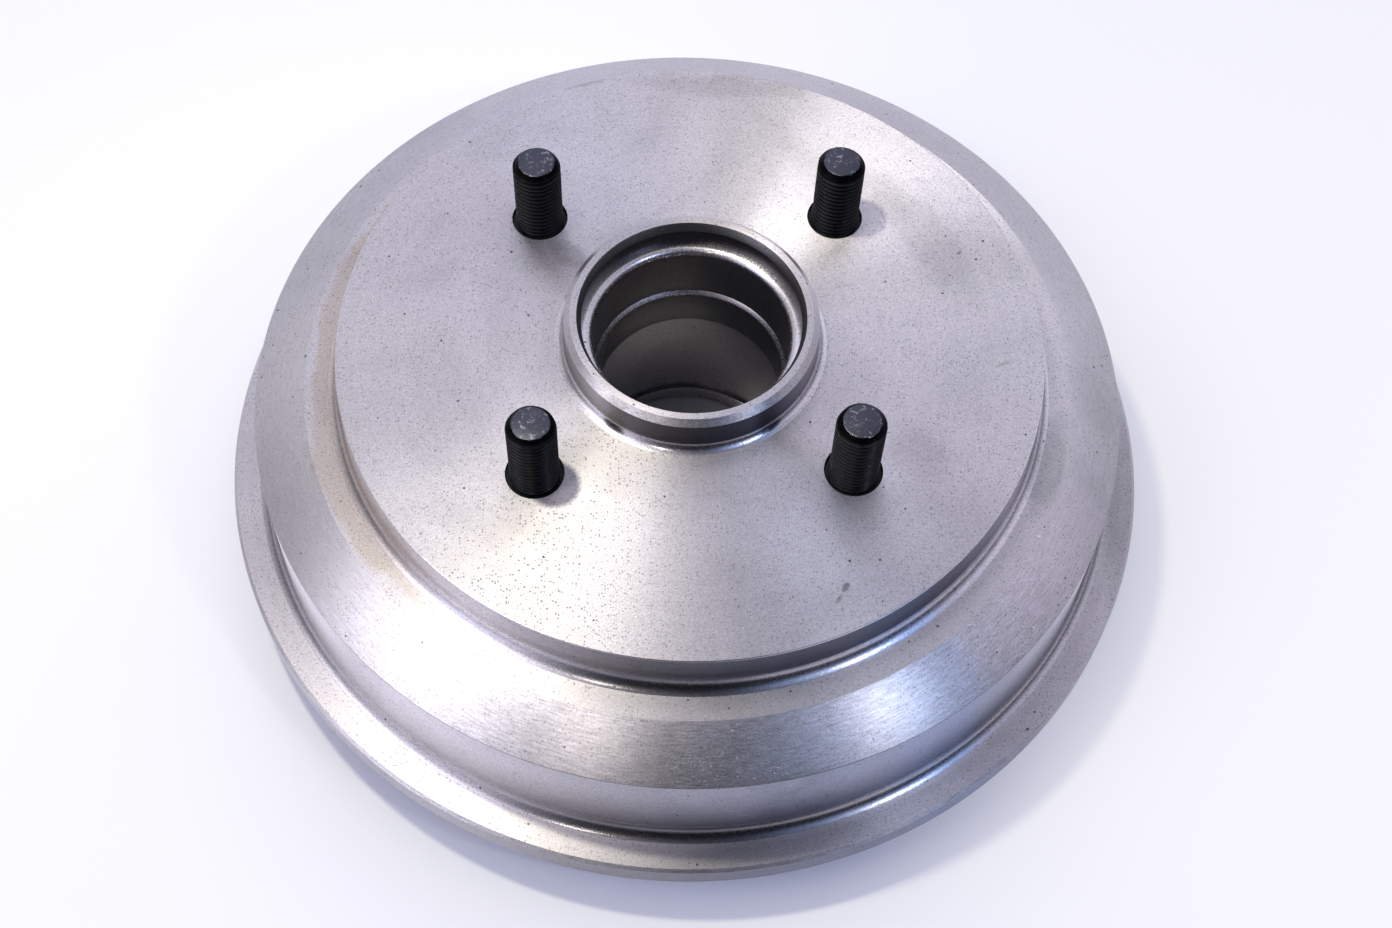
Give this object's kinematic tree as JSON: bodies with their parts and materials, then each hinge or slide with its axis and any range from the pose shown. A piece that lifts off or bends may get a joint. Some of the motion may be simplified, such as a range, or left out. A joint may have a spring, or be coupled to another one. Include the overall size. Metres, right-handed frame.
{
  "type": "brake drum",
  "caption": "Brake drum cast in one piece with its stepped hub, with a flanged open rim, a raised wheel pilot collar and pressed-in threaded wheel studs.",
  "frame": {"origin": "centre of the hub's inner end, the lowest face, which the drum stands on", "axes": "+Z along the wheel axis towards the wheel side; the wheel studs lie on the diagonals between X and Y"},
  "size_m": [0.242, 0.242, 0.0914],
  "materials": {
    "machined_iron": "fine-turned bare grey iron, satin",
    "black_steel": "black phosphate, satin"
  },
  "bodies": {
    "root": {"brake_drum": "machined_iron", "wheel_stud_1": "black_steel", "wheel_stud_2": "black_steel", "wheel_stud_3": "black_steel", "wheel_stud_4": "black_steel"}
  },
  "joints": []
}
